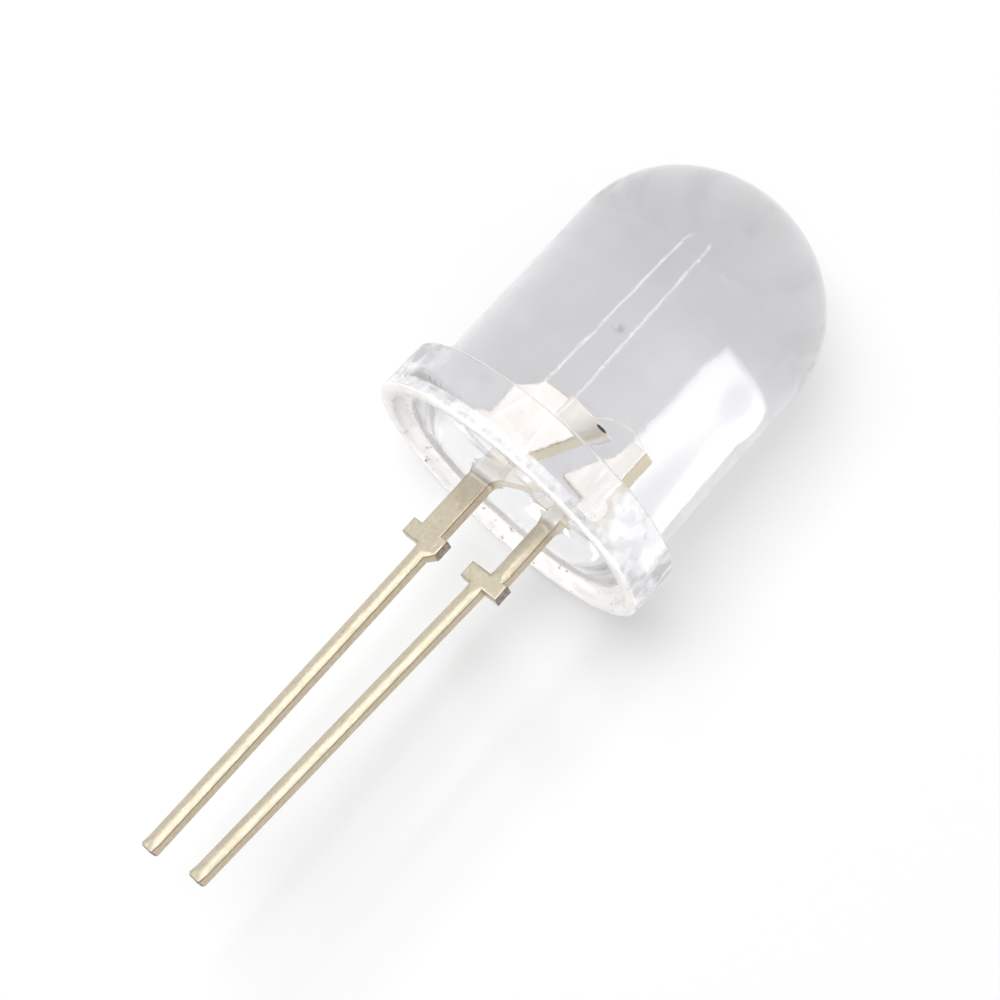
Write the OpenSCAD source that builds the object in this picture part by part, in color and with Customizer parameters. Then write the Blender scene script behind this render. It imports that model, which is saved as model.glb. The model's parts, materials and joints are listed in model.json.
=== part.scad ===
// Clear round-top through-hole LED of the 10 mm class: two stamped leads, a die in a reflector
// cup, a bond wire and the cast epoxy lens that holds them.
// Millimetres, +Z up. The LED lies on its flange rim and its dome on the plane z = 0, with the
// dome towards +X. Each sub-part is drawn upright first: the lens axis is z, the seating rim is
// at z = 0, the cathode is on the -x side and the sheet of the leads lies in the xz plane. Both
// leads are drawn about the middle between their pins, which sits a little off the lens axis.

/* [Lens] */
// Diameter of the straight barrel
barrel_d = 10; // [9.4:0.1:10.8]
// Height of the barrel's end above the seating rim
barrel_h = 9.8; // [8:0.1:12]
// Height of the dome above the barrel's end
dome_h = 4.5; // [3.5:0.1:5]
// Diameter of the flange at the foot of the barrel
flange_d = 11.6; // [11.2:0.1:12.6]
// Height of the flange
flange_h = 1.95; // [1.5:0.05:2.4]
// Rounding of the flange's outer edges
edge_r = 0.12; // [0.05:0.01:0.3]
// Fillet at the foot of the barrel
foot_r = 0.2; // [0.1:0.01:0.22]
// Width of the flat seating rim
rim_w = 0.6; // [0.4:0.05:0.9]
// Depth of the dished underside, below the rim
dish_depth = 0.45; // [0.2:0.05:0.6]
// How far the epoxy creeps down each lead from the dish
creep_h = 0.4; // [0.1:0.05:0.5]
// Least thickness of the crept epoxy at a lead's corners
creep_wall = 0.04; // [0.02:0.01:0.1]

/* [Leads] */
// Distance by which both leads sit off the lens axis, on the anode's side
frame_shift = 0.18; // [0:0.02:0.3]
// Distance between the two pins
pin_pitch = 2.54; // [2.4:0.02:2.7]
// Thickness of the sheet that the leads are stamped from
sheet_t = 0.5; // [0.4:0.05:0.6]
// Width of a pin
pin_w = 0.56; // [0.4:0.05:0.6]
// Length of the trimmed cathode lead below the seating rim
cathode_len = 16.5; // [8:0.1:28]
// Length of the trimmed anode lead below the seating rim
anode_len = 16.15; // [8:0.1:30]
// Angle by which the anode pin is bent in towards the cathode
toe_in = 2.1; // [0:0.1:3]
// Bevel on the trimmed ends
tip_bevel = 0.08; // [0.02:0.01:0.15]
// Distance from the seating rim to the stoppers
stop_z = 2.34; // [1:0.02:4]
// Height of a stopper along the lead
stop_h = 0.64; // [0.4:0.02:0.9]
// Width of a stopper across the lead
stop_w = 1.66; // [1.2:0.02:1.8]
// Distance from the middle between the pins to the middle of the cathode's stopper
cathode_stop_x = 1.51; // [1.4:0.01:1.6]
// Distance from the middle between the pins to the middle of the anode's stopper
anode_stop_x = 1.36; // [1.3:0.01:1.5]
// Height of the slanted web under the inner side of the cathode's stopper
web_h = 0.3; // [0.1:0.02:0.5]
// Width of the cathode above its stopper
cathode_shank_w = 0.96; // [0.6:0.02:1]
// Width of the anode above its stopper
anode_shank_w = 0.63; // [0.5:0.01:0.7]
// Distance from the middle between the pins to the anode's inner side above its stopper
anode_shank_x = 1.37; // [1.3:0.01:1.45]

/* [Anvil and cup] */
// Height of the middle of the reflector cup's rim above the seating rim
cup_top = 3.76; // [3.7:0.01:3.9]
// Angle by which the cup leans towards the anode
cup_tilt = 11; // [0:1:15]
// Outer diameter of the cup at its rim
cup_d = 1.36; // [1.3:0.02:1.5]
// Diameter of the coned boss at its foot
cup_foot_d = 1; // [0.9:0.02:1.1]
// Height of the coned boss under the cup's rim
cup_boss_h = 0.95; // [0.8:0.01:1.1]
// Diameter of the cup's mouth
cup_mouth_d = 1.16; // [1:0.02:1.2]
// Diameter of the cup's floor
cup_floor_d = 0.56; // [0.52:0.02:0.6]
// Depth of the cup
cup_depth = 0.36; // [0.3:0.01:0.5]
// Reach of the anvil from the middle between the pins to its outer side
anvil_reach = 1.81; // [1.6:0.01:1.9]
// Height of the anvil's sloped outer shoulder
anvil_shoulder_z = 2.84; // [2.6:0.01:3.1]
// Distance from the middle between the pins to the top of the shoulder's slope
anvil_top_x = 1.31; // [1:0.01:1.5]
// Height of the anvil's top
anvil_top_z = 3.77; // [3.6:0.01:3.8]
// Distance from the middle between the pins to the anvil's inner corner under the cup
anvil_tip_x = 0.24; // [0.1:0.02:0.3]
// Height at which the anvil starts to widen from its shank
anvil_root_z = 0.2; // [0.1:0.05:0.6]
// Height of the bend in the anvil's inner edge
anvil_bend_z = 1; // [0.8:0.05:1.2]
// Distance from the middle between the pins to the bend in the anvil's inner edge
anvil_bend_x = 0.62; // [0.4:0.01:0.8]

/* [Post] */
// Height of the post's top above the seating rim
post_top = 3.98; // [3.8:0.01:4.4]
// Width of the post's top
post_top_w = 0.58; // [0.4:0.01:0.65]
// Reach of the post's top from the middle between the pins to its outer side
post_top_reach = 2; // [1.95:0.01:2.1]
// Reach of the post's foot from the middle between the pins to its outer side
post_foot_reach = 1.99; // [1.95:0.01:2.1]
// Distance from the middle between the pins to the nose that points at the anvil
nose_x = 0.55; // [0.52:0.01:0.7]
// Height of the nose above the seating rim
nose_z = 1.49; // [1.4:0.01:1.6]
// Fall of the nose's underside towards the shank
nose_fall = 0.17; // [0:0.01:0.3]
// Distance from the middle between the pins to the knee above the nose
knee_x = 1.31; // [1.2:0.01:1.36]
// Height of the knee above the seating rim
knee_z = 3.2; // [3:0.01:3.4]

/* [Ears] */
// Radius of the round ears that anchor the leads in the epoxy
ear_r = 0.5; // [0.4:0.01:0.55]
// Reach of the cathode's ear from the middle between the pins
cathode_ear_reach = 2.2; // [2:0.01:2.3]
// Height of the cathode's ear above the seating rim
cathode_ear_z = 1.2; // [1.1:0.01:1.4]
// Reach of the anode's ear from the middle between the pins
anode_ear_reach = 2.31; // [2.2:0.01:2.4]
// Height of the anode's ear above the seating rim
anode_ear_z = 1.33; // [1.2:0.01:1.4]

/* [Die and wire] */
// Side of the square die
die_w = 0.3; // [0.2:0.01:0.34]
// Height of the die
die_h = 0.2; // [0.1:0.01:0.25]
// Thickness of the conductive glue under the die
glue_h = 0.03; // [0.01:0.01:0.05]
// Diameter of the patch of glue
glue_d = 0.46; // [0.4:0.01:0.5]
// Diameter of the bond wire
wire_d = 0.03; // [0.02:0.005:0.05]
// Rise of the wire's arch over the line between its two bonds
wire_rise = 0.45; // [0.3:0.01:0.7]
// Diameter of the flattened bonds at the wire's ends
bond_d = 0.09; // [0.08:0.01:0.12]
// Height of the flattened bonds
bond_h = 0.06; // [0.055:0.005:0.08]

/* [Pose] */
// Roll of the sheet's face away from straight up
sheet_roll = 30; // [0:1:60]

/* [Hidden] */
$fn = 96;
eps = 0.01;
barrel_r = barrel_d / 2;
flange_r = flange_d / 2;
rim_r = flange_r - rim_w;
// The barrel's fillet leaves at least half of the shoulder's flat.
foot_fillet = min(foot_r, (flange_r - edge_r - barrel_r) / 2);
pin_x = pin_pitch / 2;
stop_bottom = -stop_z - stop_h;
stop_middle = -stop_z - stop_h / 2;
cathode_inner_x = pin_x - pin_w / 2;
cathode_outer_x = cathode_inner_x + cathode_shank_w;
cup_r = cup_d / 2;
cup_foot_r = cup_foot_d / 2;
cup_floor_z = cup_top - cup_depth;
cup_boss_z = cup_top - cup_boss_h;
die_z = cup_floor_z + glue_h;
post_x = post_top_reach - post_top_w / 2;

// The wire is one arc between the middles of its two bonds.
ball_drop = cup_top - die_z - die_h - bond_h / 2;
wire_start = [-ball_drop * sin(cup_tilt), cup_top - ball_drop * cos(cup_tilt)];
wire_run = [post_x, post_top + bond_h / 2] - wire_start;
wire_R = (pow(norm(wire_run) / 2, 2) + pow(wire_rise, 2)) / (2 * wire_rise);
wire_half = asin(norm(wire_run) / 2 / wire_R);
wire_slope = atan2(wire_run[1], wire_run[0]);

// Nose-down angle at which the flange's rim and the dome touch the plane together.
function dome_drop(t) = norm([barrel_r * cos(t), dome_h * sin(t)]);
function flange_drop(t) = (flange_r - edge_r) * cos(t) + edge_r;
function rest_angle(t, n) = n == 0 ? t
    : rest_angle(asin((flange_drop(t) - dome_drop(t)) / (barrel_h - flange_h + edge_r)), n - 1);
tilt = rest_angle(5, 8);
axis_z = flange_drop(tilt) + (flange_h - edge_r) * sin(tilt);

// Ends of the lying LED along X, to put the origin under the middle of its box.
x_front = barrel_h * cos(tilt) + norm([dome_h * cos(tilt), barrel_r * sin(tilt)]);
tip_reach = pin_x - frame_shift + pin_w / 2 - tip_bevel;
tip_drop = tip_reach * sin(sheet_roll) + sheet_t / 2 * cos(sheet_roll);
x_back = -cathode_len * cos(tilt) - tip_drop * sin(tilt);

// Points along an arc about c from angle a0 to a1, in n steps.
function arc(c, r, a0, a1, n) = [for (i = [0:n]) let (a = a0 + (a1 - a0) * i / n)
    c + r * [cos(a), sin(a)]];

// Half section of the lens: rim, flange, barrel, dome, axis and dished underside.
lens_profile = concat(
    [[rim_r, 0]],
    arc([flange_r - edge_r, edge_r], edge_r, -90, 0, 6),
    arc([flange_r - edge_r, flange_h - edge_r], edge_r, 0, 90, 6),
    arc([barrel_r + foot_fillet, flange_h + foot_fillet], foot_fillet, 270, 180, 6),
    [[barrel_r, barrel_h]],
    [for (a = [5:5:85]) [barrel_r * cos(a), barrel_h + dome_h * sin(a)]],
    [[0, barrel_h + dome_h], [0, dish_depth]],
    arc([rim_r - dish_depth, 0], dish_depth, 90, 15, 5)
);

// Half section of the epoxy that creeps down a lead, with a hollow flank. r is its lower radius.
function creep_profile(r) = concat(
    [[0, dish_depth + eps], [0, dish_depth - creep_h]],
    arc([r + creep_h, dish_depth - creep_h], creep_h, 180, 90, 6),
    [[r + creep_h, dish_depth + eps]]
);

// Moves the leads, drawn about the middle between the pins, to their place in the lens.
module placed() {
    translate([frame_shift, 0, 0])
        children();
}

// Leans what stands in the cup about the middle of the cup's rim.
module leaned() {
    translate([0, 0, cup_top])
        rotate([0, cup_tilt, 0])
            translate([0, 0, -cup_top])
                children();
}

// Lays the upright LED down in its resting pose.
module lie() {
    translate([-(x_front + x_back) / 2, 0, axis_z])
        rotate([0, 90 + tilt, 0])
            rotate([0, 0, -90 - sheet_roll])
                children();
}

// Stamps an outline, drawn in x and z, from the sheet.
module stamp() {
    rotate([90, 0, 0])
        linear_extrude(sheet_t, center = true)
            children();
}

// A pin that hangs from the given x under its stopper and leans by the given angle, with
// bevelled corners at its end.
module pin_outline(x, length, lean) {
    h = pin_w / 2;
    hanging = [
        [-h, pin_w], [h, pin_w], [h, tip_bevel - length], [h - tip_bevel, -length],
        [tip_bevel - h, -length], [-h, tip_bevel - length]
    ];
    polygon([for (p = hanging) [
        x + p[0] * cos(lean) + p[1] * sin(lean),
        stop_bottom - p[0] * sin(lean) + p[1] * cos(lean)
    ]]);
}

module stopper_outline() {
    translate([-stop_w / 2, stop_bottom])
        square([stop_w, stop_h]);
}

// Stopper, web, shank, ear and anvil of the cathode.
module cathode_outline() {
    translate([-cathode_stop_x, 0])
        stopper_outline();
    polygon([
        [-cathode_inner_x - pin_w / 2, stop_bottom],
        [stop_w / 2 - cathode_stop_x, stop_bottom],
        [-cathode_inner_x, stop_bottom - web_h],
        [-cathode_inner_x - pin_w / 2, stop_bottom - web_h]
    ]);
    translate([-cathode_outer_x, stop_middle])
        square([cathode_shank_w, cathode_ear_z - stop_middle]);
    translate([ear_r - cathode_ear_reach, cathode_ear_z])
        circle(ear_r);
    polygon([
        [-cathode_inner_x, anvil_root_z],
        [-anvil_bend_x, anvil_bend_z],
        [anvil_tip_x, cup_boss_z],
        [anvil_tip_x, cup_floor_z],
        [-cup_foot_r, anvil_top_z],
        [-anvil_top_x, anvil_top_z],
        [-anvil_reach, anvil_shoulder_z],
        [-anvil_reach, anvil_root_z]
    ]);
}

module cathode_solid() {
    placed()
        difference() {
            union() {
                stamp()
                    pin_outline(-pin_x, cathode_len + stop_bottom, 0);
                stamp()
                    cathode_outline();
                leaned()
                    translate([0, 0, cup_boss_z])
                        cylinder(h = cup_boss_h, r1 = cup_foot_r, r2 = cup_r);
            }
            // The coined bowl of the reflector cup.
            leaned()
                translate([0, 0, cup_floor_z])
                    cylinder(h = cup_depth, d1 = cup_floor_d, d2 = cup_mouth_d);
        }
}

// Stopper, shank, ear and post of the anode.
module anode_outline() {
    translate([anode_stop_x, 0])
        stopper_outline();
    translate([anode_shank_x, stop_middle])
        square([anode_shank_w, anode_ear_z - stop_middle]);
    translate([anode_ear_reach - ear_r, anode_ear_z])
        circle(ear_r);
    polygon([
        [nose_x, nose_z],
        [anode_shank_x, nose_z - nose_fall],
        [anode_ear_reach - ear_r, anode_ear_z],
        [post_foot_reach, anode_ear_z + ear_r / 2],
        [post_top_reach, post_top],
        [post_top_reach - post_top_w, post_top],
        [knee_x, knee_z]
    ]);
}

module anode_solid() {
    placed() {
        stamp()
            pin_outline(pin_x, anode_len + stop_bottom, toe_in);
        stamp()
            anode_outline();
    }
}

module glue_solid() {
    placed()
        leaned()
            translate([0, 0, cup_floor_z])
                cylinder(h = glue_h, d = glue_d);
}

module die_solid() {
    placed()
        leaned()
            translate([-die_w / 2, -die_w / 2, die_z])
                cube([die_w, die_w, die_h]);
}

module wire_solid() {
    placed() {
        translate([wire_start[0], 0, wire_start[1]])
            rotate([90, -wire_slope, 0])
                translate([norm(wire_run) / 2, wire_rise - wire_R, 0])
                    rotate([0, 0, 90 - wire_half])
                        rotate_extrude(angle = 2 * wire_half)
                            translate([wire_R, 0])
                                circle(d = wire_d, $fn = 24);
        leaned()
            translate([0, 0, die_z + die_h])
                cylinder(h = bond_h, d = bond_d);
        translate([post_x, 0, post_top])
            cylinder(h = bond_h, d = bond_d);
    }
}

// Collar of crept epoxy round a shank of the given middle and width.
module creep_collar(x, w) {
    placed()
        translate([x, 0, 0])
            rotate_extrude()
                polygon(creep_profile(norm([w, sheet_t]) / 2 + creep_wall));
}

module lens_solid() {
    difference() {
        union() {
            rotate_extrude()
                polygon(lens_profile);
            creep_collar(cathode_shank_w / 2 - cathode_outer_x, cathode_shank_w);
            creep_collar(anode_shank_x + anode_shank_w / 2, anode_shank_w);
        }
        cathode_solid();
        anode_solid();
        glue_solid();
        die_solid();
        wire_solid();
    }
}

module epoxy_lens() { color("lightsteelblue", 0.35) lie() lens_solid(); }
module cathode_lead() { color("tan") lie() cathode_solid(); }
module anode_lead() { color("tan") lie() anode_solid(); }
module led_die() { color("darkslategray") lie() die_solid(); }
module die_glue() { color("silver") lie() glue_solid(); }
module bond_wire() { color("gold") lie() wire_solid(); }

epoxy_lens();
cathode_lead();
anode_lead();
led_die();
die_glue();
bond_wire();
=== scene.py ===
import functools
import json
import math

import bmesh
import bpy
from mathutils import Matrix, Vector


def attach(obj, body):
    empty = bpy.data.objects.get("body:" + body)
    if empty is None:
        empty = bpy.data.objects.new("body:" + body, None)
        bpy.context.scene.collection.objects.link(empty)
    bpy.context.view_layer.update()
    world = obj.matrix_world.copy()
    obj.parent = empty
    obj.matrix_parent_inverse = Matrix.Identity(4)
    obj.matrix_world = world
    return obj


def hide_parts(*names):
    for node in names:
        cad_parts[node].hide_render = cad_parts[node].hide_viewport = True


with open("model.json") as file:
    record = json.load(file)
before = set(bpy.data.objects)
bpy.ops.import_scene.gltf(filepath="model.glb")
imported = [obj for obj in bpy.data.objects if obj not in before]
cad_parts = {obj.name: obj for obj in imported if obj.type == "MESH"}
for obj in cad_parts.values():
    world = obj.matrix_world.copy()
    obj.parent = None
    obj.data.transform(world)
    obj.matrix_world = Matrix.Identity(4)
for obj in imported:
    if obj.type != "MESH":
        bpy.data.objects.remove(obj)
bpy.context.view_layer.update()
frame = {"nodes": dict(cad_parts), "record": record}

MM = 0.001
TOLERANCE = 1e-4
mounts = {m["name"]: m for m in frame["record"]["mounts"]}

# Lens, as in the construction.
BARREL_R = mounts["lens_barrel"]["dims"]["r_mm"]
FLANGE_H = 1.95
BARREL_H = FLANGE_H + mounts["lens_barrel"]["dims"]["length_mm"]
DOME_H = 4.5
FLANGE_R = 5.8
EDGE_R = 0.12
RIM_W = 0.6
DISH_DEPTH = 0.45
CREEP_H = 0.4
FOOT_FILLET = 0.2
DISH_FLOOR_R = FLANGE_R - RIM_W - DISH_DEPTH
LENS_SEGMENTS = 256
DISH_RINGS = 84
BARREL_RINGS = 24
DOME_RINGS = 48
EDGE_STEPS = 6
DISH_STEPS = 8

# Leads, as in the construction, about the middle between the pins.
FRAME_SHIFT = 0.18
SHEET_T = 0.5
PIN_X = 1.27
PIN_W = 0.56
CATHODE_LEN = 16.5
ANODE_LEN = 16.15
TOE_IN = 2.1
TIP_BEVEL = 0.08
STOP_TOP = -2.34
STOP_BOTTOM = -2.98
STOP_W = 1.66
CATHODE_STOP_X = 1.51
ANODE_STOP_X = 1.36
WEB_H = 0.3
PIN_TOP = STOP_BOTTOM - WEB_H
SHANK_W = 0.96
SHANK_OUTER = PIN_X - PIN_W / 2 + SHANK_W
ANODE_SHANK_X = 1.37
ANODE_SHANK_W = 0.63
EAR_R = 0.5
EAR_STEPS = 20
CATHODE_EAR_REACH = 2.2
CATHODE_EAR_Z = 1.2
ANODE_EAR_REACH = 2.31
ANODE_EAR_Z = 1.33
CUP_TOP = 3.76
CUP_TILT = 11
CUP_R = 0.68
CUP_FOOT_R = 0.5
CUP_BOSS_H = 0.95
CUP_BOSS_Z = CUP_TOP - CUP_BOSS_H
CUP_MOUTH_R = 0.58
CUP_FLOOR_R = 0.28
CUP_DEPTH = 0.36
CUP_FLOOR_Z = CUP_TOP - CUP_DEPTH
CUP_LIP = 0.04
CUP_SEGMENTS = 96
CUT_MARGIN = 0.2
ANVIL_REACH = 1.81
ANVIL_SHOULDER_Z = 2.84
ANVIL_TOP_X = 1.31
ANVIL_TOP_Z = 3.77
ANVIL_TIP_X = 0.24
ANVIL_ROOT_Z = 0.2
ANVIL_BEND_Z = 1
ANVIL_BEND_X = 0.62
POST_TOP = 3.98
POST_TOP_W = 0.58
POST_REACH = 2
NOSE_X = 0.55
NOSE_Z = 1.49
NOSE_FALL = 0.17
KNEE_X = 1.31
KNEE_Z = 3.2

# Angles at which each ear leaves its lead's outer side and meets it again.
CATHODE_EAR_ARC = (102.7, 239.5)
ANODE_EAR_ARC = (-67.7, 67.7)

# Stamping rolls edges over on one face, along the pins and the anode's shank, and leaves the
# others crisp.
ROLL_R = 0.5
ROLL_ANGLE = 30
CRISP_ANGLE = 6
ROLL_FADE = 0.2
ROLL_STEPS = 6
ARRIS_R = 0.06
ARRIS_STEPS = 3
SHARP_ANGLE = 40


def upright_to_row():
    """Matrix that carries the upright LED into the row's frame."""
    axis = Vector(mounts["lens_barrel"]["axis"]).normalized()
    barrel = Vector(mounts["lens_barrel"]["pos_m"])
    rim = Vector(mounts["seating_rim"]["pos_m"])
    foot = barrel + axis * (rim - barrel).dot(axis)
    x_axis = (rim - foot).normalized()
    y_axis = axis.cross(x_axis)
    rows = Matrix((x_axis, y_axis, axis)).transposed()
    return Matrix.Translation(foot) @ rows.to_4x4()


PLACE = upright_to_row()


def add_piece(name, mesh, material, replaced):
    """Object for an upright mesh in millimetres, laid in the row's frame."""
    piece = bpy.data.objects.new(name, mesh)
    bpy.context.scene.collection.objects.link(piece)
    mesh.transform(PLACE @ Matrix.Scale(MM, 4))
    mesh.materials.clear()
    mesh.materials.append(material)
    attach(piece, "root")
    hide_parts(replaced)


def arc(cx, cz, r, a0, a1, n):
    """Points about (cx, cz) from one angle in degrees to another, in n steps."""
    return [(cx + r * math.cos(math.radians(a0 + (a1 - a0) * i / n)),
             cz + r * math.sin(math.radians(a0 + (a1 - a0) * i / n))) for i in range(n + 1)]


def mesh_from(bm, name):
    """Smooth-shaded mesh of a bmesh, with its faces turned outwards."""
    bmesh.ops.recalc_face_normals(bm, faces=bm.faces)
    mesh = bpy.data.meshes.new(name)
    bm.to_mesh(mesh)
    bm.free()
    mesh.polygons.foreach_set("use_smooth", [True] * len(mesh.polygons))
    return mesh


def lathe(name, profile, segments):
    """Closed mesh turned from (radius, z) points; the first and last lie on the axis."""
    bm = bmesh.new()
    rings = []
    for r, z in profile:
        if r == 0:
            rings.append([bm.verts.new((0, 0, z))])
            continue
        rings.append([bm.verts.new((r * math.cos(a), r * math.sin(a), z))
                      for a in (2 * math.pi * i / segments for i in range(segments))])
    for low, high in zip(rings, rings[1:]):
        for i in range(segments):
            j = (i + 1) % segments
            if len(low) == 1:
                bm.faces.new((low[0], high[j], high[i]))
            elif len(high) == 1:
                bm.faces.new((low[i], low[j], high[0]))
            else:
                bm.faces.new((low[i], low[j], high[j], high[i]))
    return mesh_from(bm, name)


def inset(outline, depths):
    """Anticlockwise outline with each point moved inwards along its mitre by its own depth."""
    moved = []
    befores = outline[-1:] + outline[:-1]
    afters = outline[1:] + outline[:1]
    for before, here, after, depth in zip(befores, outline, afters, depths):
        e0 = (Vector(here) - Vector(before)).normalized()
        e1 = (Vector(after) - Vector(here)).normalized()
        n0 = Vector((-e0.y, e0.x))
        n1 = Vector((-e1.y, e1.x))
        bisector = n0 + n1
        moved.append(Vector(here) + bisector * (2 * depth / bisector.length_squared))
    return moved


def arris_steps(angle):
    """How far each ring of an edge lies in from the outline and back from the face."""
    roll = math.radians(angle)
    reach = ROLL_R * math.sin(roll) + ARRIS_R * (1 - math.sin(roll))
    rolled = [roll * i / ROLL_STEPS for i in range(ROLL_STEPS)]
    steps = [(reach - ROLL_R * math.sin(a), ROLL_R * (1 - math.cos(a))) for a in rolled]
    for i in range(ARRIS_STEPS + 1):
        a = roll + (math.pi / 2 - roll) * i / ARRIS_STEPS
        steps.append((ARRIS_R * (1 - math.sin(a)),
                      ROLL_R * (1 - math.cos(roll)) + ARRIS_R * (math.cos(roll) - math.cos(a))))
    return steps


def stamped(name, outline, rolled):
    """Plate of the sheet's thickness in the xz plane, its -y face rolled over at some ranges of z."""
    bm = bmesh.new()
    half = SHEET_T / 2
    n = len(outline)
    front = []
    for _, z in outline:
        soft = any(low <= z <= high for low, high in rolled)
        front.append(arris_steps(ROLL_ANGLE if soft else CRISP_ANGLE))
    back = arris_steps(0)[-ARRIS_STEPS - 1:]
    rings = []
    for steps in zip(*front):
        places = zip(inset(outline, [depth for depth, _ in steps]), steps)
        rings.append([bm.verts.new((p[0], step[1] - half, p[1])) for p, step in places])
    for depth, y in reversed(back):
        places = inset(outline, [depth] * n)
        rings.append([bm.verts.new((p[0], half - y, p[1])) for p in places])
    for low, high in zip(rings, rings[1:]):
        for i in range(n):
            j = (i + 1) % n
            bm.faces.new((low[i], low[j], high[j], high[i]))
    bm.faces.new(rings[0])
    bm.faces.new(rings[-1])
    return mesh_from(bm, name)


def applied(mesh, name, modifiers):
    """Mesh after a list of (type, settings) modifiers."""
    holder = bpy.data.objects.new(name, mesh)
    bpy.context.scene.collection.objects.link(holder)
    for kind, settings in modifiers:
        modifier = holder.modifiers.new(kind.lower(), kind)
        for key, value in settings.items():
            setattr(modifier, key, value)
    graph = bpy.context.evaluated_depsgraph_get()
    result = bpy.data.meshes.new_from_object(holder.evaluated_get(graph), depsgraph=graph)
    result.name = name
    bpy.data.objects.remove(holder)
    return result


def tool(mesh):
    """Object that a boolean modifier can name, removed once it has cut."""
    obj = bpy.data.objects.new("tool", mesh)
    bpy.context.scene.collection.objects.link(obj)
    return obj


# Clear epoxy lens.
def creep_drop(x, y):
    """How far the epoxy hangs below the dish at a place of the underside, next to the leads."""
    drop = 0
    x -= FRAME_SHIFT
    cathode_x = SHANK_W / 2 - SHANK_OUTER
    anode_x = ANODE_SHANK_X + ANODE_SHANK_W / 2
    for lead_x, width in ((cathode_x, SHANK_W), (anode_x, ANODE_SHANK_W)):
        out = Vector((max(abs(x - lead_x) - width / 2, 0), max(abs(y) - SHEET_T / 2, 0))).length
        if out < CREEP_H:
            drop = max(drop, CREEP_H - math.sqrt(CREEP_H ** 2 - (CREEP_H - out) ** 2))
    return drop


def lens_profile():
    """Radius and z from the middle of the dish, round the flange and up to the dome's top."""
    edge_x = FLANGE_R - EDGE_R
    foot = FLANGE_H + FOOT_FILLET
    points = [(0, DISH_DEPTH)]
    points += [(DISH_FLOOR_R * i / DISH_RINGS, DISH_DEPTH) for i in range(1, DISH_RINGS)]
    points += arc(DISH_FLOOR_R, 0, DISH_DEPTH, 90, 0, DISH_STEPS)
    points += [(FLANGE_R - RIM_W / 2, 0)]
    points += arc(edge_x, EDGE_R, EDGE_R, -90, 0, EDGE_STEPS)
    points += [(FLANGE_R, FLANGE_H / 2)]
    points += arc(edge_x, FLANGE_H - EDGE_R, EDGE_R, 0, 90, EDGE_STEPS)
    points += arc(BARREL_R + FOOT_FILLET, foot, FOOT_FILLET, 270, 180, EDGE_STEPS)
    rise = (BARREL_H - foot) / BARREL_RINGS
    points += [(BARREL_R, foot + rise * i) for i in range(1, BARREL_RINGS + 1)]
    for i in range(1, DOME_RINGS):
        a = math.radians(90 * i / DOME_RINGS)
        points.append((BARREL_R * math.cos(a), BARREL_H + DOME_H * math.sin(a)))
    points += [(0, BARREL_H + DOME_H)]
    return points


def lens_mesh():
    """Lens whose dish floor hangs down in a collar around each lead."""
    mesh = lathe("clear_lens", lens_profile(), LENS_SEGMENTS)
    for vertex in mesh.vertices:
        if abs(vertex.co.z - DISH_DEPTH) < TOLERANCE:
            vertex.co.z -= creep_drop(vertex.co.x, vertex.co.y)
    return mesh


# Stamped leads.
def pin_side(x, side, length, lean):
    """Points down a pin's side -1 or 1, leaning about the stopper."""
    lean = math.radians(lean)
    half = PIN_W / 2
    bevel_top = TIP_BEVEL - length
    straight = ((half, -WEB_H), (half, 2 * ROLL_FADE - length), (half, bevel_top),
                (half - TIP_BEVEL, -length))
    points = []
    for across, down in straight:
        across *= side
        points.append((x + across * math.cos(lean) + down * math.sin(lean),
                       STOP_BOTTOM - across * math.sin(lean) + down * math.cos(lean)))
    return points


def stopper_side(x, side):
    """Two points of a stopper's end on its side -1 or 1, from the top down."""
    return [(x + side * STOP_W / 2, STOP_TOP), (x + side * STOP_W / 2, STOP_BOTTOM)]


def cathode_outline():
    """Anticlockwise in x and z: anvil, ear, shank, stopper, pin and web."""
    inner = SHANK_W - SHANK_OUTER
    length = CATHODE_LEN + STOP_BOTTOM
    points = [(ANVIL_TIP_X, CUP_FLOOR_Z), (-CUP_FOOT_R, ANVIL_TOP_Z), (-ANVIL_TOP_X, ANVIL_TOP_Z)]
    points += [(-ANVIL_REACH, ANVIL_SHOULDER_Z)]
    points += arc(EAR_R - CATHODE_EAR_REACH, CATHODE_EAR_Z, EAR_R, *CATHODE_EAR_ARC, EAR_STEPS)
    points += [(-SHANK_OUTER, STOP_TOP)]
    points += stopper_side(-CATHODE_STOP_X, -1)
    points += [(-PIN_X - PIN_W / 2, STOP_BOTTOM)]
    points += pin_side(-PIN_X, -1, length, 0)
    points += pin_side(-PIN_X, 1, length, 0)[:0:-1]
    points += [(inner, PIN_TOP)]
    points += stopper_side(-CATHODE_STOP_X, 1)[::-1]
    points += [(inner, STOP_TOP), (inner, ANVIL_ROOT_Z), (-ANVIL_BEND_X, ANVIL_BEND_Z)]
    points += [(ANVIL_TIP_X, CUP_BOSS_Z)]
    return points


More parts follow.
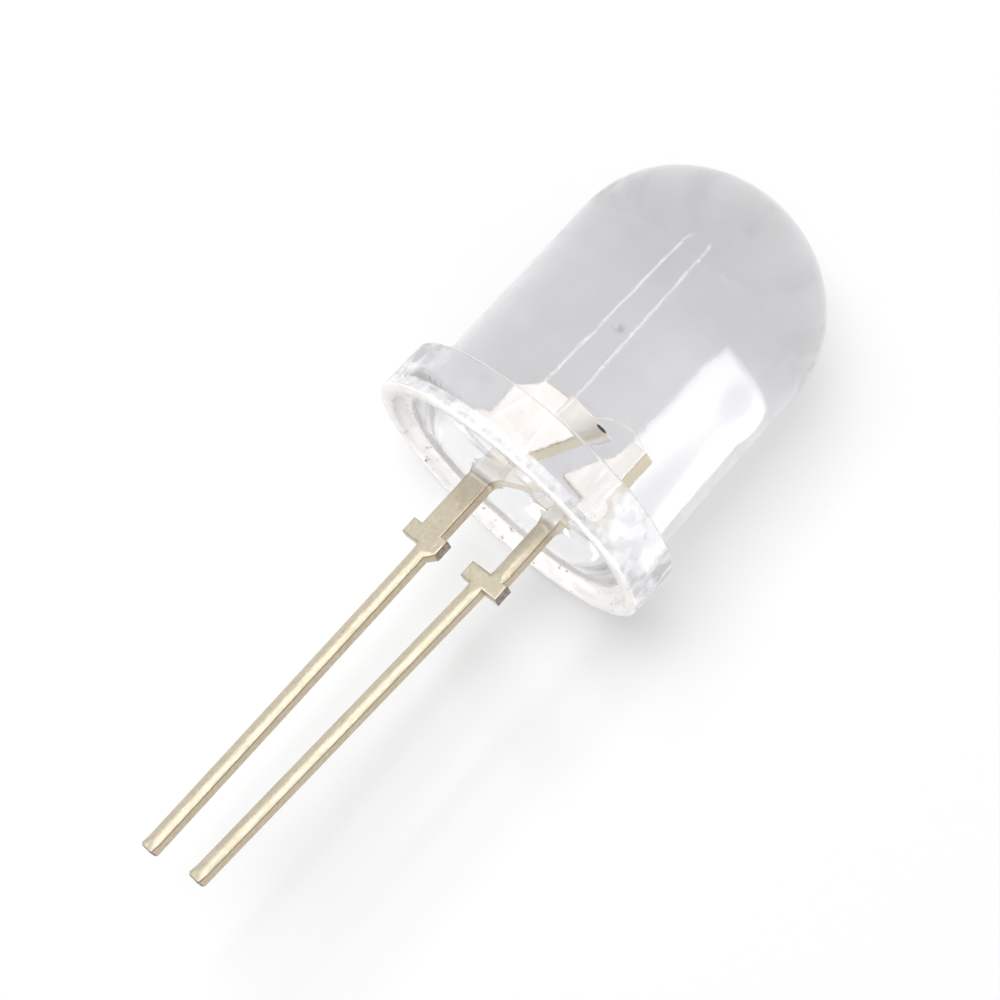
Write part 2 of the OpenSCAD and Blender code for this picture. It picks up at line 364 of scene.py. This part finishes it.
def anode_outline():
    """Anticlockwise in x and z: post, nose, shank, stopper, pin and ear."""
    length = ANODE_LEN + STOP_BOTTOM
    outer = ANODE_SHANK_X + ANODE_SHANK_W
    points = [(POST_REACH, POST_TOP), (POST_REACH - POST_TOP_W, POST_TOP), (KNEE_X, KNEE_Z)]
    points += [(NOSE_X, NOSE_Z), (ANODE_SHANK_X, NOSE_Z - NOSE_FALL)]
    points += [(ANODE_SHANK_X, z) for z in (0, STOP_TOP + ROLL_FADE, STOP_TOP)]
    points += stopper_side(ANODE_STOP_X, -1)
    points += [(PIN_X - PIN_W / 2, STOP_BOTTOM)]
    points += pin_side(PIN_X, -1, length, TOE_IN)
    points += pin_side(PIN_X, 1, length, TOE_IN)[::-1]
    points += [(PIN_X + PIN_W / 2, STOP_BOTTOM)]
    points += stopper_side(ANODE_STOP_X, 1)[::-1]
    points += [(outer, z) for z in (STOP_TOP, STOP_TOP + ROLL_FADE, 0)]
    points += arc(ANODE_EAR_REACH - EAR_R, ANODE_EAR_Z, EAR_R, *ANODE_EAR_ARC, EAR_STEPS)
    return points


def leaned(mesh):
    """Leans what stands in the cup about the middle of the cup's rim."""
    middle = Matrix.Translation((0, 0, CUP_TOP))
    mesh.transform(middle @ Matrix.Rotation(math.radians(CUP_TILT), 4, "Y") @ middle.inverted())
    return mesh


def finished(mesh):
    """Smooth rounded edges next to flat faces, moved to the leads' place in the lens."""
    mesh.transform(Matrix.Translation((FRAME_SHIFT, 0, 0)))
    mesh.set_sharp_from_angle(angle=math.radians(SHARP_ANGLE))
    return applied(mesh, mesh.name, [("WEIGHTED_NORMAL", {"keep_sharp": True, "weight": 100})])


def cathode_mesh():
    """Cathode with its coned reflector cup, which is coined out of a boss."""
    pin = (ROLL_FADE - CATHODE_LEN, PIN_TOP + ROLL_FADE / 2)
    plate = stamped("cathode_plate", cathode_outline(), [pin])
    boss = tool(leaned(lathe("boss", [
        (0, CUP_BOSS_Z), (CUP_FOOT_R, CUP_BOSS_Z), (CUP_R, CUP_TOP - CUP_LIP),
        (CUP_R - CUP_LIP / 4, CUP_TOP - CUP_LIP / 4), (CUP_R - CUP_LIP, CUP_TOP),
        (0, CUP_TOP)], CUP_SEGMENTS)))
    above = CUP_TOP + CUT_MARGIN
    bowl = tool(leaned(lathe("bowl", [
        (0, CUP_FLOOR_Z), (CUP_FLOOR_R, CUP_FLOOR_Z), (CUP_MOUTH_R, CUP_TOP),
        (CUP_MOUTH_R, above), (0, above)], CUP_SEGMENTS)))
    mesh = applied(plate, "cathode_leadframe", [
        ("BOOLEAN", {"operation": "UNION", "solver": "EXACT", "object": boss}),
        ("BOOLEAN", {"operation": "DIFFERENCE", "solver": "EXACT", "object": bowl}),
    ])
    for obj in (boss, bowl):
        bpy.data.objects.remove(obj)
    return finished(mesh)


def anode_mesh():
    """Anode, rolled over along its pin and its shank."""
    pin = (ROLL_FADE - ANODE_LEN, PIN_TOP + ROLL_FADE / 2)
    shank = (STOP_TOP + ROLL_FADE / 2, 0)
    return finished(stamped("anode_leadframe", anode_outline(), [pin, shank]))


# Materials.
class Nodes:
    """Shorthand for a material's node tree."""

    def __init__(self, name):
        self.material = bpy.data.materials.new(name)
        self.material.use_nodes = True
        self.tree = self.material.node_tree
        self.shader = self.tree.nodes["Principled BSDF"]

    def add(self, kind, inputs=None, **settings):
        node = self.tree.nodes.new(kind)
        for key, value in settings.items():
            setattr(node, key, value)
        for key, value in (inputs or {}).items():
            self.put(node, key, value)
        return node

    def put(self, node, key, value):
        socket = node.inputs[key]
        if isinstance(value, bpy.types.NodeSocket):
            self.tree.links.new(value, socket)
        else:
            socket.default_value = value

    def set(self, **inputs):
        for key, value in inputs.items():
            self.put(self.shader, key.replace("_", " "), value)

    def noise(self, vector, scale, detail=2, roughness=0.5):
        inputs = {"Vector": vector, "Scale": scale, "Detail": detail, "Roughness": roughness}
        return self.add("ShaderNodeTexNoise", inputs).outputs["Fac"]

    def ramp(self, fac, *stops):
        node = self.add("ShaderNodeValToRGB", {"Fac": fac})
        while len(node.color_ramp.elements) < len(stops):
            node.color_ramp.elements.new(0.5)
        for element, (position, colour) in zip(node.color_ramp.elements, stops):
            element.position = position
            element.color = (*colour, 1)
        return node.outputs["Color"]

    def mix(self, fac, a, b):
        """Colour a, or a colour that a node gives, turning into colour b."""
        node = self.add("ShaderNodeMix", data_type="RGBA")
        self.put(node, 0, fac)
        for socket, colour in ((6, a), (7, b)):
            self.put(node, socket, (*colour, 1) if isinstance(colour, tuple) else colour)
        return node.outputs[2]

    def math(self, operation, a, b=0.0):
        return self.add("ShaderNodeMath", {0: a, 1: b}, operation=operation).outputs[0]

    def chain(self, operation, values):
        return functools.reduce(lambda a, b: self.math(operation, a, b), values)

    def plus(self, *terms):
        return self.chain("ADD", terms)

    def times(self, *factors):
        return self.chain("MULTIPLY", factors)

    def most(self, *levels):
        return self.chain("MAXIMUM", levels)

    def map_range(self, value, low, high, to_low=0.0, to_high=1.0):
        inputs = {"Value": value, "From Min": low, "From Max": high, "To Min": to_low, "To Max": to_high}
        return self.add("ShaderNodeMapRange", inputs).outputs["Result"]

    def bump(self, height, distance):
        return self.add("ShaderNodeBump", {"Height": height, "Distance": distance}).outputs["Normal"]

    def split(self, vector):
        node = self.add("ShaderNodeSeparateXYZ", {"Vector": vector})
        return node.outputs["X"], node.outputs["Y"], node.outputs["Z"]

    def facing(self, direction):
        """How squarely a surface faces a direction of the upright LED or its opposite, 0 to 1."""
        normal = self.add("ShaderNodeNewGeometry").outputs["Normal"]
        dot = self.add("ShaderNodeVectorMath", {0: normal, 1: PLACE.to_3x3() @ Vector(direction)},
                       operation="DOT_PRODUCT").outputs["Value"]
        return self.math("ABSOLUTE", dot)

    def upright(self):
        """Place on the upright LED in millimetres."""
        place = self.add("ShaderNodeTexCoord").outputs["Object"]
        back = PLACE.inverted()
        turned = self.add("ShaderNodeMapping", {"Vector": place, "Rotation": back.to_euler(),
                                                "Location": back.translation})
        return self.add("ShaderNodeVectorMath", {0: turned.outputs["Vector"], 1: (1 / MM,) * 3},
                        operation="MULTIPLY").outputs["Vector"]


# Dark marks on the barrel: place on the upright LED, half sizes, softness and depth.
BARREL_MARKS = (((3.05, -3.96, 2.84), (0.25, 0.25, 0.06), 0.5, 0.95),
                ((1.53, -4.76, 5.74), (0.27, 0.27, 0.27), 1.2, 0.3))


def barrel_dark_marks(n, place):
    """Small marks on the barrel, ragged at their edges."""
    rag = n.times(n.noise(place, 7.0, 2), 0.8)
    dark_marks = 0
    for middle, half_size, softness, depth in BARREL_MARKS:
        squares = []
        for along, centre, half in zip(n.split(place), middle, half_size):
            offset = n.math("DIVIDE", n.math("SUBTRACT", along, centre), half)
            squares.append(n.times(offset, offset))
        ragged = n.plus(*squares, rag)
        dark_marks = n.most(dark_marks, n.map_range(ragged, 1.3, 1.3 - softness, 0, depth))
    return dark_marks


def epoxy_material():
    n = Nodes("clear_epoxy")
    place = n.upright()
    across, back, z = n.split(place)
    out = n.math("SQRT", n.plus(n.times(across, across), n.times(back, back)))

    # The cast surface is a little wavy, in three scales.
    waves = n.plus(n.times(n.noise(place, 1.1, 1), 0.15), n.times(n.noise(place, 6.0, 1), 0.35),
                   n.times(n.noise(place, 13.0, 1), 0.3))

    # The seating rim with the dish's wall and the flange's shoulder are matt from the mould.
    flange = n.map_range(z, FLANGE_H + 0.3, FLANGE_H + 0.1)
    rim = n.times(n.map_range(z, DISH_DEPTH + 0.3, DISH_DEPTH + 0.1),
                  n.map_range(out, DISH_FLOOR_R - 0.15, DISH_FLOOR_R + 0.05),
                  n.map_range(out, FLANGE_R - 0.02, FLANGE_R - 0.1))
    shoulder = n.times(n.map_range(n.facing((0, 0, 1)), 0.3, 0.8),
                       n.map_range(out, BARREL_R - 0.15, BARREL_R + 0.05), flange)
    matt = n.most(rim, shoulder)
    foot = n.times(n.map_range(z, FLANGE_H - 0.02, FLANGE_H + 0.02),
                   n.map_range(z, FLANGE_H + FOOT_FILLET + 0.05, FLANGE_H + FOOT_FILLET))

    # The flange's side is cloudy along its foot and, in blotches, at its two ends.
    wall = n.map_range(out, FLANGE_R - 0.15, FLANGE_R - 0.1)
    hem = n.times(n.map_range(z, DISH_DEPTH + 0.05, DISH_DEPTH - 0.05), wall)
    ends = n.most(n.map_range(across, -2.7, -3.3, 0.08, 0.45), n.map_range(across, 4.3, 5.0, 0.08, 0.8))
    blotches = n.map_range(n.noise(place, 1.7, 2), 0.4, 0.6, 0.55, 1)

    # Brown mould residue speckles the rim.
    speck = n.times(n.map_range(n.noise(place, 3.6, 3, 0.6), 0.635, 0.69), rim)
    # Dark marks on the barrel, which darken its colour and cloud it.
    dark_marks = barrel_dark_marks(n, place)
    mottle = n.noise(place, 2.5, 2)
    cloudy = n.most(n.times(matt, n.map_range(mottle, 0.3, 0.7, 0.4, 0.75)),
                    n.times(hem, n.map_range(mottle, 0.3, 0.7, 0.2, 0.5)),
                    n.times(wall, flange, ends, blotches), n.times(speck, 0.9), dark_marks)

    tint = n.mix(n.map_range(n.noise(place, 0.7, 3), 0.35, 0.65), (0.87, 0.87, 0.905),
                 (0.92, 0.92, 0.935))
    tint = n.mix(matt, tint, (0.94, 0.915, 0.895))
    tint = n.mix(speck, tint, (0.36, 0.25, 0.20))
    polish = n.map_range(n.noise(place, 2.0), 0.3, 0.7, 0.015, 0.035)
    n.set(Base_Color=n.mix(n.map_range(dark_marks, 0, 0.4), tint, (0.03, 0.03, 0.035)),
          Roughness=n.plus(n.times(n.most(matt, foot), 0.4), polish),
          Transmission_Weight=n.math("SUBTRACT", 1, cloudy),
          Normal=n.bump(waves, 0.004 * MM), IOR=1.55)
    return n.material


def cut_ends(n, across, along):
    """Mask of the stoppers' and the pins' ends, which were cut after plating."""
    middle = (CATHODE_STOP_X + ANODE_STOP_X) / 2
    lopsided = (CATHODE_STOP_X - ANODE_STOP_X) / 2
    centred = n.math("ABSOLUTE", n.math("ADD", across, lopsided - FRAME_SHIFT))
    reach = n.math("ABSOLUTE", n.math("SUBTRACT", centred, middle))
    stopper = n.times(n.facing((1, 0, 0)), n.map_range(reach, STOP_W / 2 - 0.06, STOP_W / 2 - 0.02))
    tip = n.times(n.facing((0, 0, 1)), n.map_range(along, 0.25 - ANODE_LEN, 0.15 - ANODE_LEN))
    return n.map_range(n.most(stopper, tip), 0.4, 0.7)


def metal_material():
    n = Nodes("plated_steel")
    place = n.upright()
    across, _, along = n.split(place)
    stretched = n.add("ShaderNodeMapping", {"Vector": place, "Scale": (1, 1, 0.15)}).outputs["Vector"]
    streaks = n.noise(stretched, 9, 3)
    mottle = n.noise(place, 7, 3, 0.6)
    blotch = n.noise(place, 1.6, 3)
    sealed = n.map_range(n.plus(along, n.times(n.noise(place, 3), 0.3)), 0.1, 0.5)

    # Dulled silver plating, warm and mottled where it is bare, paler inside the epoxy.
    bare = n.ramp(mottle, (0.34, (0.54, 0.50, 0.37)), (0.52, (0.60, 0.54, 0.43)),
                  (0.68, (0.66, 0.56, 0.46)))
    bare = n.mix(n.map_range(streaks, 0.45, 0.75, 0, 0.45), bare, (0.50, 0.46, 0.33))
    bare = n.mix(n.map_range(blotch, 0.5, 0.75, 0, 0.4), bare, (0.46, 0.41, 0.32))
    bright = n.mix(n.map_range(blotch, 0.3, 0.7), (1.0, 0.99, 0.95), (1.0, 0.95, 0.88))

    # Painted shade: the punched sides are painted darker than the sheet's faces, and darkest along the
    # arris.
    face = n.facing((0, 1, 0))
    side = n.map_range(face, 0.8, 0.35)
    arris_shade = n.times(n.map_range(face, 0.82, 0.7), n.map_range(face, 0.15, 0.4))
    side_shade_colour = n.mix(n.map_range(mottle, 0.35, 0.65), (0.50, 0.42, 0.29), (0.60, 0.52, 0.40))
    bare = n.mix(side, bare, side_shade_colour)
    bare = n.mix(n.times(arris_shade, 0.8), bare, (0.26, 0.18, 0.09))

    # The coned cup has no punched sides. Inside the epoxy the sides and the arris get a paler painted
    # shade.
    from_middle = n.math("ABSOLUTE", n.math("SUBTRACT", across, FRAME_SHIFT))
    sheet = n.most(n.map_range(from_middle, CUP_R, CUP_R + 0.06),
                   n.map_range(along, CUP_BOSS_Z, CUP_BOSS_Z - 0.1))
    bright = n.mix(n.times(side, sheet), bright, (0.92, 0.84, 0.64))
    bright = n.mix(n.times(arris_shade, sheet, 0.5), bright, (0.55, 0.45, 0.22))

    # Bare steel shows, patchily, where the tie bar and the pins were cut.
    cut = n.times(cut_ends(n, across, along), n.map_range(mottle, 0.4, 0.55, 0.35, 0.9))
    bare = n.mix(cut, bare, (0.16, 0.13, 0.14))
    n.set(Base_Color=n.mix(sealed, bare, bright),
          Roughness=n.plus(n.map_range(streaks, 0.3, 0.7, 0.26, 0.36), n.times(sealed, 0.14)),
          Normal=n.bump(n.plus(streaks, mottle), 0.006 * MM), Metallic=1)
    return n.material


def die_material():
    n = Nodes("die_chip")
    place = n.upright()
    n.set(Base_Color=n.ramp(n.noise(place, 14, 3), (0.3, (0.16, 0.16, 0.17)), (0.7, (0.30, 0.30, 0.30))),
          Roughness=n.map_range(n.noise(place, 25), 0.3, 0.7, 0.2, 0.4), Metallic=0.3)
    return n.material


def glue_material():
    n = Nodes("silver_glue")
    grain = n.noise(n.upright(), 30, 3)
    n.set(Base_Color=n.ramp(grain, (0.3, (0.50, 0.49, 0.47)), (0.7, (0.74, 0.73, 0.71))),
          Roughness=n.map_range(grain, 0.3, 0.7, 0.45, 0.65), Normal=n.bump(grain, 0.01 * MM),
          Metallic=0.6)
    return n.material


def wire_material():
    n = Nodes("gold_wire")
    place = n.upright()
    n.set(Base_Color=n.ramp(n.noise(place, 12), (0.3, (1.0, 0.92, 0.78)), (0.7, (1.0, 0.95, 0.85))),
          Roughness=n.map_range(n.noise(place, 20), 0.3, 0.7, 0.15, 0.3), Metallic=1)
    return n.material


metal = metal_material()
add_piece("clear_lens", lens_mesh(), epoxy_material(), "epoxy_lens")
add_piece("cathode_leadframe", cathode_mesh(), metal, "cathode_lead")
add_piece("anode_leadframe", anode_mesh(), metal, "anode_lead")

CARRIED_OVER = {"led_die": die_material, "die_glue": glue_material, "bond_wire": wire_material}
for node, make_material in CARRIED_OVER.items():
    data = frame["nodes"][node].data
    data.materials.clear()
    data.materials.append(make_material())


# Stage: a pale floor under a white surround.
FLOOR_SIZE = 1.2
FLOOR_COLOUR = (0.8, 0.8, 0.8, 1)
FLOOR_GLOW = 0.18
AMBIENT = 0.5
WHITE = (1, 1, 1, 1)


def seen(n):
    """1 for rays that come from the camera, a gloss or clear epoxy."""
    path = n.add("ShaderNodeLightPath")
    kinds = ("Is Camera Ray", "Is Glossy Ray", "Is Transmission Ray")
    return n.most(*(path.outputs[kind] for kind in kinds))


def floor_material():
    n = Nodes("pale_floor")
    n.set(Base_Color=FLOOR_COLOUR, Roughness=1.0, Specular_IOR_Level=0, Emission_Color=WHITE,
          Emission_Strength=n.times(seen(n), FLOOR_GLOW))
    return n.material


bpy.ops.mesh.primitive_plane_add(size=FLOOR_SIZE, location=(0, 0, 0))
floor = bpy.context.object
floor.name = "floor"
floor.data.materials.append(floor_material())


def studio_world():
    """White to the eye, in a gloss and through the epoxy, and dimmer for the light on the stage."""
    world = bpy.data.worlds.new("studio")
    world.use_nodes = True
    tree = world.node_tree
    path = tree.nodes.new("ShaderNodeLightPath")
    background = tree.nodes["Background"]
    background.inputs["Color"].default_value = WHITE
    socket = path.outputs["Is Camera Ray"]
    for other in ("Is Glossy Ray", "Is Transmission Ray"):
        most = tree.nodes.new("ShaderNodeMath")
        most.operation = "MAXIMUM"
        tree.links.new(socket, most.inputs[0])
        tree.links.new(path.outputs[other], most.inputs[1])
        socket = most.outputs[0]
    level = tree.nodes.new("ShaderNodeMath")
    level.operation = "SUBTRACT"
    level.use_clamp = True
    tree.links.new(socket, level.inputs[0])
    tree.links.new(path.outputs["Diffuse Depth"], level.inputs[1])
    strength = tree.nodes.new("ShaderNodeMapRange")
    strength.inputs["To Min"].default_value = AMBIENT
    strength.inputs["To Max"].default_value = 1
    tree.links.new(level.outputs[0], strength.inputs["Value"])
    tree.links.new(strength.outputs["Result"], background.inputs["Strength"])
    return world


# Lamps. Each acts on one kind of ray: diffuse lamps light surfaces, glossy ones are mirrored and
# transmission ones are seen through the epoxy.
LAMP_H = 0.4
STRIP_W = 0.007
FILL_SIZE = (0.4, 0.3)
RAY_KINDS = ("diffuse", "glossy", "transmission")


def lamp(name, acts_on, place, size, radiance, along=(1, 0, 0)):
    """Rectangular lamp at a place, facing the object, with its long side towards a direction."""
    data = bpy.data.lights.new(name, "AREA")
    data.shape = "RECTANGLE"
    data.size, data.size_y = size
    data.energy = radiance * math.pi * size[0] * size[1]
    obj = bpy.data.objects.new(name, data)
    bpy.context.scene.collection.objects.link(obj)
    z_axis = place.normalized()
    y_axis = z_axis.cross(Vector(along)).normalized()
    x_axis = y_axis.cross(z_axis)
    turn = Matrix((x_axis, y_axis, z_axis)).transposed().to_4x4()
    obj.matrix_world = Matrix.Translation(place) @ turn
    for kind in RAY_KINDS:
        setattr(obj, "visible_" + kind, kind == acts_on)
    return obj


def overhead(x, angle):
    """Place on the lamps' plane at an angle from straight up towards +Y."""
    return Vector((x, math.tan(math.radians(angle)) * LAMP_H, LAMP_H))


def group(name, *pieces):
    """Collection of named objects, for a lamp to be linked to."""
    collection = bpy.data.collections.new(name)
    for piece in pieces:
        collection.objects.link(bpy.data.objects[piece])
    return collection


def add_lamps():
    # Two slanted strips draw the thin bright lines along the barrel.
    lamp("strip_near", "glossy", overhead(0.04, 10.9), (0.44, STRIP_W), 9, (1, 0.25, 0))
    lamp("strip_far", "glossy", overhead(0.1, 47.5), (0.56, STRIP_W), 11, (1, -0.85, 0))

    # The soft key gives the lens its shadow. The low key gives the leads theirs: only they block it,
    # because light goes through the clear lens.
    lamp("soft_key", "diffuse", overhead(0, 22), (0.22, 0.2), 5.6)
    low_key = lamp("low_key", "diffuse", overhead(0.15, 38.2), (0.12, 0.12), 16)
    low_key.light_linking.blocker_collection = group("opaque", "cathode_leadframe", "anode_leadframe")

    # The sheen runs along the pins, the band lies low in the barrel, its bright core along its foot,
    # and the wide fill lights the metal inside the epoxy.
    lamp("lead_sheen", "glossy", overhead(0, 29), (0.28, 0.27), 1.1)
    lamp("band_fill", "transmission", overhead(0.2, 18.5), (0.34, 0.085), 3.4)
    lamp("band_core", "transmission", overhead(0.205, 16.5), (0.31, 0.045), 4)
    lamp("metal_fill", "transmission", overhead(0.1, 60), (0.6, 0.6), 0.6)

    # Low fills from behind the leads and from both sides light the cloudy parts of the lens alone.
    lens_only = group("lens_only", "clear_lens")
    fills = {"rim_fill": ((-0.4, 0, 0.25), 3.6), "left_fill": ((-0.1, 0.4, 0.2), 3.4),
             "right_fill": ((-0.1, -0.4, 0.2), 1.8)}
    for name, (place, radiance) in fills.items():
        fill = lamp(name, "diffuse", Vector(place), FILL_SIZE, radiance)
        fill.light_linking.receiver_collection = lens_only


# Camera: nearly overhead, tipped towards the dome, with the LED across the frame's diagonal.
CAMERA_AT = Vector((-5.687, 0.195, 68.169)) * MM
CAMERA_FORWARD = Vector((0.10784, 0, -0.99417))
CAMERA_ROLL = 42.42
FOCAL_LENGTH = 65.88
SENSOR_W = 36


def add_camera():
    data = bpy.data.cameras.new("camera")
    data.lens = FOCAL_LENGTH
    data.sensor_width = SENSOR_W
    data.clip_start = MM
    camera = bpy.data.objects.new("camera", data)
    bpy.context.scene.collection.objects.link(camera)
    forward = CAMERA_FORWARD.normalized()
    right = forward.cross(Vector((0, 0, 1))).normalized()
    level = Matrix((right, right.cross(forward), -forward)).transposed().to_4x4()
    roll = Matrix.Rotation(math.radians(CAMERA_ROLL), 4, "Z")
    camera.matrix_world = Matrix.Translation(CAMERA_AT) @ level @ roll
    return camera


scene = bpy.context.scene
scene.world = studio_world()
scene.view_settings.view_transform = "Standard"

# Light that is trapped in the epoxy bounces many times before it leaves.
scene.cycles.max_bounces = 32
scene.cycles.transmission_bounces = 32
scene.cycles.glossy_bounces = 16
add_lamps()
scene.camera = add_camera()
